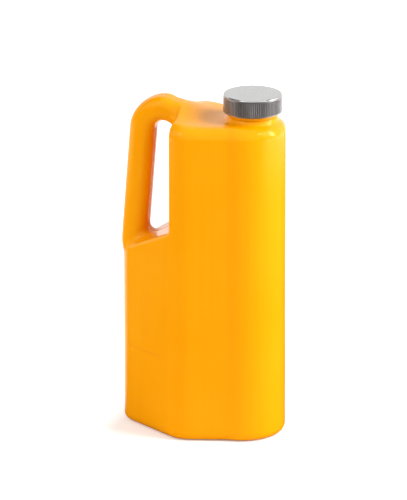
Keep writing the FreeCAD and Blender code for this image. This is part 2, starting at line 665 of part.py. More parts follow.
def make_clip():
    """Open ring snapped into the pin's groove; it keeps the plate on the pin."""
    bore = "Sizes.pin_radius - Sizes.clip_groove + Sizes.end_play"
    return turned("pin_clip", [
        (bore, CLIP_FOOT), ("Sizes.clip_radius", CLIP_FOOT), ("Sizes.clip_radius", CLIP_TOP),
        (bore, CLIP_TOP)], angle="360 deg - Sizes.clip_opening * 1 deg")


def make_washer():
    """Slip washer between the turning cap and the spring."""
    return turned("slip_washer", [
        ("Sizes.pin_radius + Sizes.pin_play", WASHER_FOOT),
        ("Sizes.cup_radius - Sizes.washer_play", WASHER_FOOT),
        ("Sizes.cup_radius - Sizes.washer_play", CAP_CEILING),
        ("Sizes.pin_radius + Sizes.pin_play", CAP_CEILING)])


def make_plate():
    """Pressed plate that the spring holds down on the lip; its cup takes the spring."""
    outer = "Sizes.cup_radius + Sizes.plate_thickness"
    hole = "Sizes.pin_radius + Sizes.pin_play"
    return turned("seal_plate", [
        (hole, CUP_FOOT), (outer, CUP_FOOT), (outer, PLATE_FOOT),
        ("Sizes.rim_radius", PLATE_FOOT), ("Sizes.rim_radius", PLATE_TOP),
        ("Sizes.cup_radius", PLATE_TOP), ("Sizes.cup_radius", CUP_FLOOR), (hole, CUP_FLOOR)])


def make_seal():
    """Flat ring under the plate, pressed on the arrester's rim."""
    inner = "Sizes.rim_radius - Sizes.seal_width"
    return turned("seal_ring", [
        (inner, RIM_TOP), ("Sizes.rim_radius", RIM_TOP), ("Sizes.rim_radius", PLATE_FOOT),
        (inner, PLATE_FOOT)])


def make_spring():
    """Compression spring between the slip washer and the plate's cup."""
    body = new_body("relief_spring")
    start = f"{CUP_FLOOR} + Sizes.end_play + Sizes.spring_wire / 2"
    wire = new_sketch(body, "wire_section", "XZ_Plane", across=NECK_X)
    circle = wire.addGeometry(Part.Circle(vector(value("Sizes.spring_radius"), value(start)),
                                          vector(0, 0, 1), value("Sizes.spring_wire / 2")))
    bind(wire, "DistanceX", (-1, 1, circle, 3), "Sizes.spring_radius")
    bind(wire, "DistanceY", (-1, 1, circle, 3), start)
    bind(wire, "Diameter", (circle,), "Sizes.spring_wire")
    coil = body.newObject("PartDesign::AdditiveHelix", "coil")
    coil.Profile = (wire, [""])
    coil.ReferenceAxis = (wire, ["V_Axis"])
    coil.Mode = "height-turns-angle"
    coil.setExpression("Height", f"{WASHER_FOOT} - {CUP_FLOOR} - 2 * Sizes.end_play"
                                 " - Sizes.spring_wire")
    coil.setExpression("Turns", "Sizes.spring_turns")
    return body


# ------------------------------------------------------------------------- build and export

PARTS = [make_can(), make_flange(), make_oring(), make_tube(), make_gauze(), make_end_cup(),
         make_cap(), make_pin(), make_clip(), make_washer(), make_plate(), make_seal(),
         make_spring()]
DOC.recompute()

for thing in DOC.Objects:
    if any(mark in state for state in thing.State for mark in ("Invalid", "Error")):
        raise RuntimeError(f"{thing.Name} failed: {thing.State}")
for part in PARTS:
    if part.Shape.isNull() or not part.Shape.isValid() or len(part.Shape.Solids) != 1:
        raise RuntimeError(f"{part.Label} has no single valid solid")

os.makedirs("parts", exist_ok=True)
for part in PARTS:
    part.Shape.exportStep(os.path.join("parts", f"{part.Label}.step"))
    box = part.Shape.optimalBoundingBox()
    print(f"{part.Label:18s} {part.Shape.Volume / 1000:9.3f} cm3  z {box.ZMin:.2f} to {box.ZMax:.2f}")
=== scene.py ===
"""Two-litre polyethylene safety can: moulded can, turned steel cap and the arrester in its neck.

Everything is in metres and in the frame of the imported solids: +Z up, +X towards the neck.
"""

import json
import logging
import math
from dataclasses import dataclass
from enum import Enum
from typing import Callable, Iterable

import bpy
from mathutils import Matrix, Vector

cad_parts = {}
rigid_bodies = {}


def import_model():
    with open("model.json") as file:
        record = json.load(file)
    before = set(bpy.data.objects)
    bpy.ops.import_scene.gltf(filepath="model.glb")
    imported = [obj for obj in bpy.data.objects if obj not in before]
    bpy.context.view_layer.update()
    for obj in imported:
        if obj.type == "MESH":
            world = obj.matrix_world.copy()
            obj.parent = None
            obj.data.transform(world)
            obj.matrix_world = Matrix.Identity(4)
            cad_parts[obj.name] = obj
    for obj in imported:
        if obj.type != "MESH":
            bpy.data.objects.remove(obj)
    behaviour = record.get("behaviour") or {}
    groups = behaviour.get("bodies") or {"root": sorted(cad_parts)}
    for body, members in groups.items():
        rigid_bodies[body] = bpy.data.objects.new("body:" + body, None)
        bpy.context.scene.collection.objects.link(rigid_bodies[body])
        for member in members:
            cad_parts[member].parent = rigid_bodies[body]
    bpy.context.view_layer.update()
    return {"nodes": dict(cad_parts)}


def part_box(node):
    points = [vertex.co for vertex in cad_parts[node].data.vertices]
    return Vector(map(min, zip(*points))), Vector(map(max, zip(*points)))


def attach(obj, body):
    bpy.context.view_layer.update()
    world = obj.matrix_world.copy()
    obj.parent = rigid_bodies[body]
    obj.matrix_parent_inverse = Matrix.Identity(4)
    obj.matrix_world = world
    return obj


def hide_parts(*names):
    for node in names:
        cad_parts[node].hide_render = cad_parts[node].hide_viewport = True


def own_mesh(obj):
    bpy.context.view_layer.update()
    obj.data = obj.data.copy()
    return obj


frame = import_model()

LOG = logging.getLogger("safety_can")

Span = tuple[float, float]
Triple = tuple[float, float, float]
Colour = tuple[float, float, float, float]

MM = 0.001
WELD = 0.01 * MM
UP: Triple = (0.0, 0.0, 1.0)
ACROSS: Triple = (1.0, 1.0, 0.0)
WHITE: Colour = (1.0, 1.0, 1.0, 1.0)
NOISE_SPAN: Span = (0.3, 0.7)


class Body(Enum):
    """The bodies that the new pieces ride on."""

    CAN = "can"
    LIFT = "lift"


# -------------------------------------------------------------------------------- small helpers


def held(value: float) -> float:
    """A number, held between 0 and 1."""
    return min(1.0, max(0.0, value))


def deselect() -> None:
    """Leave nothing selected and no object in edit mode."""
    if bpy.context.object and bpy.context.object.mode != "OBJECT":
        bpy.ops.object.mode_set(mode="OBJECT")
    bpy.ops.object.select_all(action="DESELECT")


def pick(piece: bpy.types.Object) -> None:
    """Select one object alone and make it the active one.

    Args:
        piece: the object to work on.
    """
    deselect()
    piece.select_set(True)
    bpy.context.view_layer.objects.active = piece


def edit(piece: bpy.types.Object) -> None:
    """Enter edit mode on one object, to select its vertices.

    Args:
        piece: the object to edit.
    """
    pick(piece)
    bpy.ops.object.mode_set(mode="EDIT")
    bpy.ops.mesh.select_mode(type="VERT")


def leave_edit() -> None:
    """Return to object mode."""
    bpy.ops.object.mode_set(mode="OBJECT")


def select_vertices(piece: bpy.types.Object, wanted: Callable[[Vector], bool]) -> None:
    """Select, in edit mode, the vertices whose place is wanted, and nothing else.

    Args:
        piece: the object in edit mode.
        wanted: whether a place counts.
    """
    bpy.ops.mesh.select_all(action="DESELECT")
    leave_edit()
    for vertex in piece.data.vertices:
        vertex.select = wanted(vertex.co)
    bpy.ops.object.mode_set(mode="EDIT")


def apply_modifier(piece: bpy.types.Object, kind: str, name: str, **settings: object) -> None:
    """Add a modifier, set it up and apply it.

    Args:
        piece: the object that gets it.
        kind: the modifier's type.
        name: its name.
        settings: attributes of the modifier.
    """
    pick(piece)
    modifier = piece.modifiers.new(name, kind)
    for key, setting in settings.items():
        setattr(modifier, key, setting)
    bpy.ops.object.modifier_apply(modifier=modifier.name)


def add_object(name: str, data: bpy.types.ID) -> bpy.types.Object:
    """Put a new object into the scene.

    Args:
        name: its name.
        data: its mesh, light or camera.

    Returns:
        The object, at the origin.
    """
    added = bpy.data.objects.new(name, data)
    bpy.context.scene.collection.objects.link(added)
    return added


def duplicate(piece: bpy.types.Object, name: str) -> bpy.types.Object:
    """Copy an object together with its mesh.

    Args:
        piece: the object to copy.
        name: the copy's name.

    Returns:
        The copy.
    """
    twin = piece.copy()
    twin.data = piece.data.copy()
    twin.name = name
    bpy.context.scene.collection.objects.link(twin)
    return twin


def copy_of(node: str, name: str) -> bpy.types.Object:
    """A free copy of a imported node's mesh, its loose triangles merged into one skin.

    Args:
        node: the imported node.
        name: the copy's name.

    Returns:
        The new object, at the origin.
    """
    piece = add_object(name, frame["nodes"][node].data.copy())
    piece.data.materials.clear()
    edit(piece)
    bpy.ops.mesh.customdata_custom_splitnormals_clear()
    bpy.ops.mesh.select_all(action="SELECT")
    bpy.ops.mesh.remove_doubles(threshold=WELD)
    leave_edit()
    return piece


def smooth(piece: bpy.types.Object, degrees: float) -> None:
    """Shade a piece smooth, except over edges sharper than an angle in degrees."""
    pick(piece)
    bpy.ops.object.shade_smooth_by_angle(angle=math.radians(degrees))


def give(piece: bpy.types.Object, material: bpy.types.Material) -> None:
    """Give a piece one material all over, whatever slots it has.

    Args:
        piece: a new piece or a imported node.
        material: the material.
    """
    if not piece.material_slots:
        piece.data.materials.append(material)
    for slot in piece.material_slots:
        slot.material = material


# ----------------------------------------------------------------------------- material helpers


class Tree:
    """A node tree that is written as nested calls."""

    def __init__(self, tree: bpy.types.NodeTree) -> None:
        """Start on an existing tree, emptied."""
        self.tree = tree
        tree.nodes.clear()

    def node(self, kind: str, settings: dict[str, object] | None = None,
             **inputs: object) -> bpy.types.Node:
        """Add a node.

        Args:
            kind: the node's type.
            settings: attributes of the node.
            inputs: values or sockets for its inputs; an underscore stands for a space.

        Returns:
            The node.
        """
        node = self.tree.nodes.new(kind)
        for key, setting in (settings or {}).items():
            setattr(node, key, setting)
        for key, source in inputs.items():
            self.feed(node, key.replace("_", " "), source)
        return node

    def feed(self, node: bpy.types.Node, name: str | int, source: object) -> None:
        """Set or link one input.

        Args:
            node: the node.
            name: the input's name or number.
            source: a value, or a socket to link.
        """
        socket = node.inputs[name]
        if isinstance(source, bpy.types.NodeSocket):
            self.tree.links.new(source, socket)
        else:
            socket.default_value = source

    def finish(self, shader: bpy.types.Node, kind: str = "ShaderNodeOutputMaterial") -> None:
        """Lead the last shader to an output node of the given kind."""
        self.feed(self.node(kind), "Surface", shader.outputs[0])

    def math(self, operation: str, first: object, second: object = 0.0,
             clamp: bool = False) -> bpy.types.NodeSocket:
        """Add a Math node.

        Args:
            operation: what it does.
            first: its first input.
            second: its second input.
            clamp: whether the result stays between 0 and 1.

        Returns:
            The result's socket.
        """
        node = self.node("ShaderNodeMath", {"operation": operation, "use_clamp": clamp})
        self.feed(node, 0, first)
        self.feed(node, 1, second)
        return node.outputs[0]

    def vector(self, operation: str, first: object,
               second: object = (0.0, 0.0, 0.0)) -> bpy.types.NodeSocket:
        """Add a Vector Math node.

        Args:
            operation: what it does.
            first: its first input.
            second: its second input.

        Returns:
            The result's socket: a number for LENGTH and DOT_PRODUCT, otherwise a vector.
        """
        node = self.node("ShaderNodeVectorMath", {"operation": operation})
        self.feed(node, 0, first)
        self.feed(node, 1, second)
        return node.outputs["Value" if operation in ("LENGTH", "DOT_PRODUCT") else "Vector"]

    def ramp(self, factor: bpy.types.NodeSocket, low: float, high: float, start: float = 0.0,
             end: float = 1.0) -> bpy.types.NodeSocket:
        """Map a value from one range to another, held inside it.

        Args:
            factor: the value's socket.
            low: the value that gives `start`.
            high: the value that gives `end`.
            start: the result at `low`.
            end: the result at `high`.

        Returns:
            The result's socket.
        """
        node = self.node("ShaderNodeMapRange", {"clamp": True}, Value=factor)
        for index, number in enumerate((low, high, start, end), start=1):
            node.inputs[index].default_value = number
        return node.outputs["Result"]

    def sum(self, start: object,
            *parts: tuple[bpy.types.NodeSocket, float]) -> bpy.types.NodeSocket:
        """Add shares of some values to a first one.

        Args:
            start: the first value.
            parts: each further value's socket, with how much of it is added.

        Returns:
            The result's socket.
        """
        for part, share in parts:
            start = self.math("ADD", start, self.math("MULTIPLY", part, share))
        return start

    def blend(self, factor: object, first: object, second: object) -> bpy.types.NodeSocket:
        """Mix two colours.

        Args:
            factor: how much of the second.
            first: the first colour.
            second: the second colour.

        Returns:
            The result's socket.
        """
        node = self.node("ShaderNodeMix", {"data_type": "RGBA"})
        # Inputs 6 and 7 and output 2 are the node's colour sockets.
        for index, source in ((0, factor), (6, first), (7, second)):
            self.feed(node, index, source)
        return node.outputs[2]

    def noise(self, place: bpy.types.NodeSocket, scale: float,
              detail: float = 2.0) -> bpy.types.NodeSocket:
        """Noise between 0 and 1, with its scale in waves in a metre and its octaves as detail."""
        return self.node("ShaderNodeTexNoise", None, Vector=place, Scale=scale,
                         Detail=detail).outputs["Fac"]

    def place(self, scale: Triple = (1.0, 1.0, 1.0),
              shift: Triple = (0.0, 0.0, 0.0)) -> bpy.types.NodeSocket:
        """Object coordinates, with `shift` taken off first and then stretched by `scale`."""
        coordinates = self.node("ShaderNodeTexCoord").outputs["Object"]
        return self.vector("MULTIPLY", self.vector("SUBTRACT", coordinates, shift), scale)

    def bump(self, height: bpy.types.NodeSocket, strength: float, depth: float,
             **under: bpy.types.NodeSocket) -> bpy.types.NodeSocket:
        """The normal of a height, where 1 stands `depth` up, over another given as Normal."""
        return self.node("ShaderNodeBump", None, Strength=strength, Distance=depth,
                         Height=height, **under).outputs[0]


def new_group(name: str, inputs: dict[str, float], outputs: Iterable[str],
              fill: Callable[[Tree, bpy.types.Node, bpy.types.Node], None]) -> bpy.types.NodeTree:
    """Make a shader node group once.

    Args:
        name: its name.
        inputs: its inputs, each a number with its default.
        outputs: its outputs, each a number.
        fill: builds what lies between the group's two ends.

    Returns:
        The group.
    """
    group = bpy.data.node_groups.new(name, "ShaderNodeTree")
    for key, default in inputs.items():
        socket = group.interface.new_socket(key, in_out="INPUT", socket_type="NodeSocketFloat")
        socket.default_value = default
    for key in outputs:
        group.interface.new_socket(key, in_out="OUTPUT", socket_type="NodeSocketFloat")
    tree = Tree(group)
    fill(tree, tree.node("NodeGroupInput"), tree.node("NodeGroupOutput"))
    return group


@dataclass(frozen=True)
class FineScratches:
    """Fine handling scratches as a mask, in two crossing directions and in patches."""

    stretches: tuple[Triple, ...] = ((1.0, 1.0, 0.06), (0.08, 1.0, 0.9))
    lines: float = 900.0
    line_threshold: float = 0.69
    patches: float = 28.0
    patch_edge: Span = (0.5, 0.7)

    def fill(self, tree: Tree, inner: bpy.types.Node, outer: bpy.types.Node) -> None:
        """Build the mask.

        Args:
            tree: the group's tree.
            inner: its input node.
            outer: its output node.
        """
        masks = []
        for stretch in self.stretches:
            lines = tree.noise(tree.place(stretch), self.lines)
            fine = tree.math("GREATER_THAN", lines, self.line_threshold)
            patches = tree.noise(tree.place(), self.patches)
            masks.append(tree.math("MULTIPLY", fine, tree.ramp(patches, *self.patch_edge)))
        both = tree.math("MAXIMUM", *masks)
        tree.feed(outer, "Mask", tree.math("MULTIPLY", both, inner.outputs["Amount"]))

    def make(self) -> bpy.types.NodeTree:
        """Build the group."""
        return new_group("fine_scratches", {"Amount": 1.0}, ["Mask"], self.fill)


@dataclass(frozen=True)
class SlowMottle:
    """Slow unevenness over a surface, from -1 to 1."""

    detail: float = 3.0

    def fill(self, tree: Tree, inner: bpy.types.Node, outer: bpy.types.Node) -> None:
        """Build the value between the group's input and output nodes."""
        clouds = tree.noise(tree.place(), inner.outputs["Scale"], self.detail)
        tree.feed(outer, "Value", tree.ramp(clouds, *NOISE_SPAN, -1.0, 1.0))

    def make(self) -> bpy.types.NodeTree:
        """Build the group."""
        return new_group("slow_mottle", {"Scale": 20.0}, ["Value"], self.fill)


# ------------------------------------------------------------------------------------- finishes


class Workshop:
    """Makes the finishes, with the effects that they share."""

    def __init__(self) -> None:
        """Make the shared groups."""
        self.scratches = FineScratches().make()
        self.mottle = SlowMottle().make()

    def start(self, name: str) -> tuple[bpy.types.Material, Tree, bpy.types.Node]:
        """A new material with its tree and its shader.

        Args:
            name: the material's name.

        Returns:
            The material, its tree and the Principled BSDF.
        """
        material = bpy.data.materials.new(name)
        material.use_nodes = True
        tree = Tree(material.node_tree)
        shader = tree.node("ShaderNodeBsdfPrincipled")
        tree.finish(shader)
        return material, tree, shader

    def unevenness(self, tree: Tree, scale: float) -> bpy.types.NodeSocket:
        """Place the slow mottle, from -1 to 1, with its scale in waves in a metre."""
        node = tree.node("ShaderNodeGroup", {"node_tree": self.mottle}, Scale=scale)
        return node.outputs[0]

    def wear(self, tree: Tree, amount: float) -> bpy.types.NodeSocket:
        """Place the fine scratches as a mask that goes up to `amount`."""
        node = tree.node("ShaderNodeGroup", {"node_tree": self.scratches}, Amount=amount)
        return node.outputs[0]


@dataclass(frozen=True)
class MouldedPolyethylene:
    """Yellow-orange blow-moulded polyethylene: satin, faintly rippled, a little uneven."""

    name: str = "moulded_polyethylene"
    colour: Colour = (0.89, 0.346, 0.0, 1.0)
    deep: Colour = (0.87, 0.312, 0.0, 1.0)
    scuffed: Colour = (0.89, 0.4, 0.02, 1.0)
    sheen: Colour = (1.0, 0.8, 0.35, 1.0)
    ior: float = 1.52
    specular: float = 0.4
    roughness: float = 0.16
    mottle_scale: float = 14.0
    mottle_tone: float = 0.3
    mottle_roughness: float = 0.03
    scratch_amount: float = 0.35
    scratch_roughness: float = 0.25
    streaks: float = 240.0
    streak_detail: float = 3.0
    streak_stretch: Triple = (1.0, 1.0, 0.035)
    streak_tone: Span = (0.15, 0.55)
    swell: float = 36.0
    swell_stretch: Triple = (1.0, 1.0, 0.5)
    swell_depth: float = 4 * MM
    ripple: float = 0.05
    grain: float = 650.0
    grain_depth: float = 0.3 * MM
    peel: float = 0.035

    def make(self, shop: Workshop) -> bpy.types.Material:
        """Build the material.

        Args:
            shop: the workshop with the shared groups.

        Returns:
            The material.
        """
        material, tree, shader = shop.start(self.name)
        mottle = shop.unevenness(tree, self.mottle_scale)
        scratches = shop.wear(tree, self.scratch_amount)
        streaks = tree.noise(tree.place(self.streak_stretch), self.streaks,
                             self.streak_detail)
        shade = tree.math("ADD", tree.math("MULTIPLY", mottle, self.mottle_tone),
                          tree.ramp(streaks, *NOISE_SPAN, *self.streak_tone), clamp=True)
        base = tree.blend(shade, self.deep, self.colour)
        tree.feed(shader, "Base Color", tree.blend(scratches, base, self.scuffed))
        tree.feed(shader, "Roughness", tree.sum(
            self.roughness, (mottle, self.mottle_roughness),
            (scratches, self.scratch_roughness)))
        shader.inputs["IOR"].default_value = self.ior
        shader.inputs["Specular IOR Level"].default_value = self.specular
        shader.inputs["Specular Tint"].default_value = self.sheen
        swell = tree.noise(tree.place(self.swell_stretch), self.swell)
        low = tree.bump(swell, self.ripple, self.swell_depth)
        grain = tree.noise(tree.place(), self.grain)
        tree.feed(shader, "Normal", tree.bump(grain, self.peel, self.grain_depth, Normal=low))
        return material


@dataclass(frozen=True)
class TurnedSteel:
    """Steel turned on a lathe about the neck's axis: fine rings, bright, lightly handled."""

    name: str
    axis: Triple
    colour: Colour = (0.61, 0.605, 0.6, 1.0)
    dull: Colour = (0.46, 0.455, 0.45, 1.0)
    roughness: float = 0.2
    rings: float = 2600.0
    ring_detail: float = 2.0
    ring_height: float = 0.05
    ring_depth: float = 0.05 * MM
    ring_tone: float = 0.35
    ring_roughness: float = 0.08
    # Painted shade: the side walls are darkened towards this colour, for the knurl's shade.
    shaded_wall: Colour = (0.25, 0.21, 0.2, 1.0)
    painted_wall_shade: float = 0.0
    wall_edge: Span = (0.1, 0.5)
    wall_roughness: float = 0.25
    mottle_scale: float = 60.0
    mottle_tone: float = 0.08
    scratch_amount: float = 0.5
    scratch_roughness: float = 0.18

    def make(self, shop: Workshop) -> bpy.types.Material:
        """Build the material.

        Args:
            shop: the workshop with the shared groups.

        Returns:
            The material.
        """
        material, tree, shader = shop.start(self.name)
        reach = tree.vector("LENGTH", tree.place(ACROSS, self.axis))
        turned = tree.node("ShaderNodeTexNoise", {"noise_dimensions": "1D"}, Scale=self.rings,
                           Detail=self.ring_detail, W=reach).outputs["Fac"]
        mottle = shop.unevenness(tree, self.mottle_scale)
        scratches = shop.wear(tree, self.scratch_amount)
        tone = tree.math("ADD", tree.ramp(turned, *NOISE_SPAN, 0.0, self.ring_tone),
                         tree.math("MULTIPLY", mottle, self.mottle_tone), clamp=True)
        base = tree.blend(tone, self.colour, self.dull)
        # Painted shade: side walls darker where the normal lies level; rougher there too.
        facing = tree.node("ShaderNodeSeparateXYZ")
        tree.feed(facing, 0, tree.node("ShaderNodeTexCoord").outputs["Normal"])
        shaded_wall = tree.ramp(tree.math("ABSOLUTE", facing.outputs["Z"]), *self.wall_edge,
                         self.painted_wall_shade, 0.0)
        tree.feed(shader, "Base Color", tree.blend(shaded_wall, base, self.shaded_wall))
        shader.inputs["Metallic"].default_value = 1.0
        rough = tree.math("ADD", self.roughness,
                          tree.ramp(turned, *NOISE_SPAN, 0.0, self.ring_roughness))
        tree.feed(shader, "Roughness", tree.sum(
            rough, (shaded_wall, self.wall_roughness), (scratches, self.scratch_roughness)))
        tree.feed(shader, "Normal", tree.bump(turned, self.ring_height, self.ring_depth))
        return material


@dataclass(frozen=True)
class WireGauze:
    """Woven wire gauze wrapped round the arrester, read by angle and height."""

    name: str
    axis: Triple
    radius: float = 14.2 * MM
    pitch: float = 0.9 * MM
    gap: Colour = (0.06, 0.06, 0.06, 1.0)
    wire: Colour = (0.55, 0.54, 0.52, 1.0)
    gap_roughness: float = 0.6
    wire_roughness: float = 0.35
    mottle_scale: float = 80.0
    mottle_tone: float = 0.1
    relief: float = 0.6
    relief_depth: float = 0.2 * MM

    def make(self, shop: Workshop) -> bpy.types.Material:
        """Build the material.

        Args:
            shop: the workshop with the shared groups.

        Returns:
            The material.
        """
        material, tree, shader = shop.start(self.name)
        parts = tree.node("ShaderNodeSeparateXYZ")
        tree.feed(parts, 0, tree.place(shift=self.axis))
        angle = tree.math("ARCTAN2", parts.outputs["Y"], parts.outputs["X"])
        wires = round(2 * math.pi * self.radius / self.pitch)
        round_way = tree.math("SINE", tree.math("MULTIPLY", angle, wires))
        up_way = tree.math("SINE", tree.math("MULTIPLY", parts.outputs["Z"],
                                             2 * math.pi / self.pitch))
        weave = tree.math("ABSOLUTE", tree.math("MULTIPLY", round_way, up_way))
        mottle = shop.unevenness(tree, self.mottle_scale)
        tone = tree.math("ADD", weave, tree.math("MULTIPLY", mottle, self.mottle_tone),
                         clamp=True)
        tree.feed(shader, "Base Color", tree.blend(tone, self.gap, self.wire))
        shader.inputs["Metallic"].default_value = 1.0
        tree.feed(shader, "Roughness",
                  tree.ramp(weave, 0.0, 1.0, self.gap_roughness, self.wire_roughness))
        tree.feed(shader, "Normal", tree.bump(weave, self.relief, self.relief_depth))
        return material


@dataclass(frozen=True)
class PlainFinish:
    """Rubber or a plain moulding: one tone with dust, a fine grain and a few scratches."""

    name: str
    colour: Colour
    dust: Colour
    roughness: float
    mottle_scale: float = 90.0
    mottle_roughness: float = 0.05
    dust_tone: float = 0.25
    scratch_amount: float = 0.4
    scratch_tone: float = 0.6
    grain: float = 900.0
    grain_height: float = 0.15
    grain_depth: float = 0.1 * MM

    def make(self, shop: Workshop) -> bpy.types.Material:
        """Build the material.

        Args:
            shop: the workshop with the shared groups.

        Returns:
            The material.
        """
        material, tree, shader = shop.start(self.name)
        mottle = shop.unevenness(tree, self.mottle_scale)
        scratches = shop.wear(tree, self.scratch_amount)
        veil = tree.math("ADD", tree.math("MULTIPLY", scratches, self.scratch_tone),
                         tree.ramp(mottle, -1.0, 1.0, 0.0, self.dust_tone), clamp=True)
        tree.feed(shader, "Base Color", tree.blend(veil, self.colour, self.dust))
        tree.feed(shader, "Roughness",
                  tree.sum(self.roughness, (mottle, self.mottle_roughness)))
        grain = tree.noise(tree.place(), self.grain)
        tree.feed(shader, "Normal", tree.bump(grain, self.grain_height, self.grain_depth))
        return material


# ---------------------------------------------------------------------------------- moulded can


@dataclass(frozen=True)
class Station:
    """One section across the fan in which the handle's arch runs out over the top."""

    along: float
    height: float
    width: float


@dataclass
class MouldedCan:
    """The blow-moulded can: one soft skin with its handle, a threaded neck and a parting line."""

    neck_axis: Vector

    # The skin ends at a level cut through the collar. The handle, which stands behind the neck
    # by more than neck_reach, is left whole. Points within rear_touch of the rearmost one tell
    # the outer skin from the wall's inner side.
    cut_height: float = 283.0 * MM
    neck_reach: float = 30.0 * MM
    rear_touch: float = 0.2 * MM
    neck_sink: float = 0.1 * MM
    neck_shading: float = 40.0
    well_radius: float = 17.7 * MM
    well_foot: float = 165.0 * MM
    well_above: float = 5.0 * MM
    well_sides: int = 128

    # The even mesh, and how its joints are softened.
    voxel: float = 1.5 * MM
    flow: float = 0.5
    settle_rounds: int = 4
    root_centre: Triple = (-6.0 * MM, 0.0, 281.0 * MM)
    root_reach: float = 40.0 * MM
    root_rise: float = 2.0
    root_neck: float = 24.0 * MM
    root_neck_fade: float = 4.0 * MM
    root_rounds: int = 120
    hollow_least: float = 0.05 * MM
    hollow_full: float = 0.3 * MM

    # The fan over the flat top, and the dip in the arch behind it.
    top: float = 278.3 * MM
    top_edge: float = 8.0 * MM
    fan_start: float = -20.0 * MM
    fan_run_in: float = 2.5 * MM
    fan: tuple[Station, ...] = (
        Station(-30 * MM, 13.0 * MM, 12 * MM), Station(-24 * MM, 11.6 * MM, 14 * MM),
        Station(-18 * MM, 10.8 * MM, 27 * MM), Station(-12 * MM, 8.2 * MM, 29 * MM),
        Station(-6 * MM, 4.4 * MM, 32 * MM), Station(0.0, 1.6 * MM, 35 * MM),
        Station(8 * MM, 0.0, 38 * MM))
    crown: float = -25.0 * MM
    crown_dip: float = 1.7 * MM
    crown_reach: float = 5.0 * MM
    crown_foot: float = 4.0 * MM
    crown_fade: float = 4.0 * MM

    # The parting line leaves out the flat top with its well, and the can's underside.
    line_radius: float = 0.2 * MM
    line_gap: Span = (-62.0 * MM, 23.0 * MM)
    line_gap_foot: float = 100.0 * MM
    line_foot: float = 1.0 * MM
    rib_radius: float = 0.32 * MM
    rib_level: float = 71.0 * MM
    rib_span: Span = (-64.0 * MM, -27.0 * MM)
    rib_aside: float = 5.0 * MM
    bead_resolution: int = 1

    def skin(self) -> bpy.types.Object:
        """The outer skin alone, closed over the neck and with a well for the arrester.

        Returns:
            The skin as a light mesh.
        """
        skin = copy_of("can_body", "moulded_skin")
        edit(skin)
        handle_end = self.neck_axis.x - self.neck_reach
        select_vertices(skin, lambda place: place.x > handle_end)
        bpy.ops.mesh.bisect(plane_co=(0, 0, self.cut_height), plane_no=UP, clear_outer=True)
        leave_edit()
        rear = min(vertex.co.x for vertex in skin.data.vertices)
        edit(skin)
        select_vertices(skin, lambda place: place.x < rear + self.rear_touch)
        bpy.ops.mesh.select_linked(delimit=set())
        bpy.ops.mesh.select_all(action="INVERT")
        bpy.ops.mesh.delete(type="VERT")
        bpy.ops.mesh.select_all(action="SELECT")
        bpy.ops.mesh.fill_holes(sides=0)
        bpy.ops.mesh.select_all(action="SELECT")
        bpy.ops.mesh.quads_convert_to_tris()
        bpy.ops.mesh.normals_make_consistent(inside=False)
        leave_edit()
        well = self.well()
        apply_modifier(skin, "BOOLEAN", "well", operation="DIFFERENCE", solver="EXACT",
                       object=well)
        bpy.data.objects.remove(well)
        return skin

    def well(self) -> bpy.types.Object:
        """The upright hole that the arrester hangs in, as a solid to cut with.

        Returns:
            The solid.
        """
        deselect()
        top = self.cut_height + self.well_above
        bpy.ops.mesh.primitive_cylinder_add(
            vertices=self.well_sides, radius=self.well_radius, depth=top - self.well_foot,
            location=(self.neck_axis.x, self.neck_axis.y, (top + self.well_foot) / 2))
        well = bpy.context.object
        bpy.ops.object.transform_apply(location=True, rotation=True, scale=True)
        return well

    def soften(self, skin: bpy.types.Object) -> bpy.types.Object:
        """Turn the light skin into an even one whose joints flow as moulded ones do.

        Args:
            skin: the closed light skin; it is kept as the pattern.

        Returns:
            The finished shell.
        """
        shell = duplicate(skin, "moulded_can")
        apply_modifier(shell, "REMESH", "even", mode="VOXEL", voxel_size=self.voxel,
                       adaptivity=0.0)
        apply_modifier(shell, "SHRINKWRAP", "to_pattern", target=skin,
                       wrap_method="NEAREST_SURFACEPOINT")
        self.spread(shell)
        self.fill_root(shell)
        apply_modifier(shell, "SMOOTH", "settle", factor=self.flow,
                       iterations=self.settle_rounds)
        shell.vertex_groups.clear()
        pick(shell)
        bpy.ops.object.shade_smooth()
        return shell

    def fan_height(self, place: Vector) -> float:
        """How far the fan stands above the flat top.

        Args:
            place: a point of the skin.

        Returns:
            The height over the flat top, 0 ahead of the fan and behind it.
        """
        if place.x >= self.fan[-1].along or place.x < self.fan[0].along:
            return 0.0
        for behind, ahead in zip(self.fan, self.fan[1:]):
            if place.x < ahead.along:
                break
        share = (place.x - behind.along) / (ahead.along - behind.along)
        height = behind.height + (ahead.height - behind.height) * share
        width = behind.width + (ahead.width - behind.width) * share
        return height * math.exp(-(place.y / width) ** 2)

    def spread(self, shell: bpy.types.Object) -> None:
        """Let the handle's arch run out over the top in a flat fan.

        Args:
            shell: the shell to change.
        """
        for vertex in shell.data.vertices:
            place = vertex.co
            if place.z < self.top - self.top_edge:
                continue
            rise = self.fan_height(place)
            if place.z > self.top:
                rise = max(0.0, self.top + rise - place.z)
            else:
                rise *= 1 - (self.top - place.z) / self.top_edge
            rise *= held((place.x - self.fan_start) / self.fan_run_in)
            dip = self.crown_dip * math.exp(-((place.x - self.crown) / self.crown_reach) ** 2)
            high = held((place.z - self.top - self.crown_foot) / self.crown_fade)
            vertex.co.z += rise - dip * high

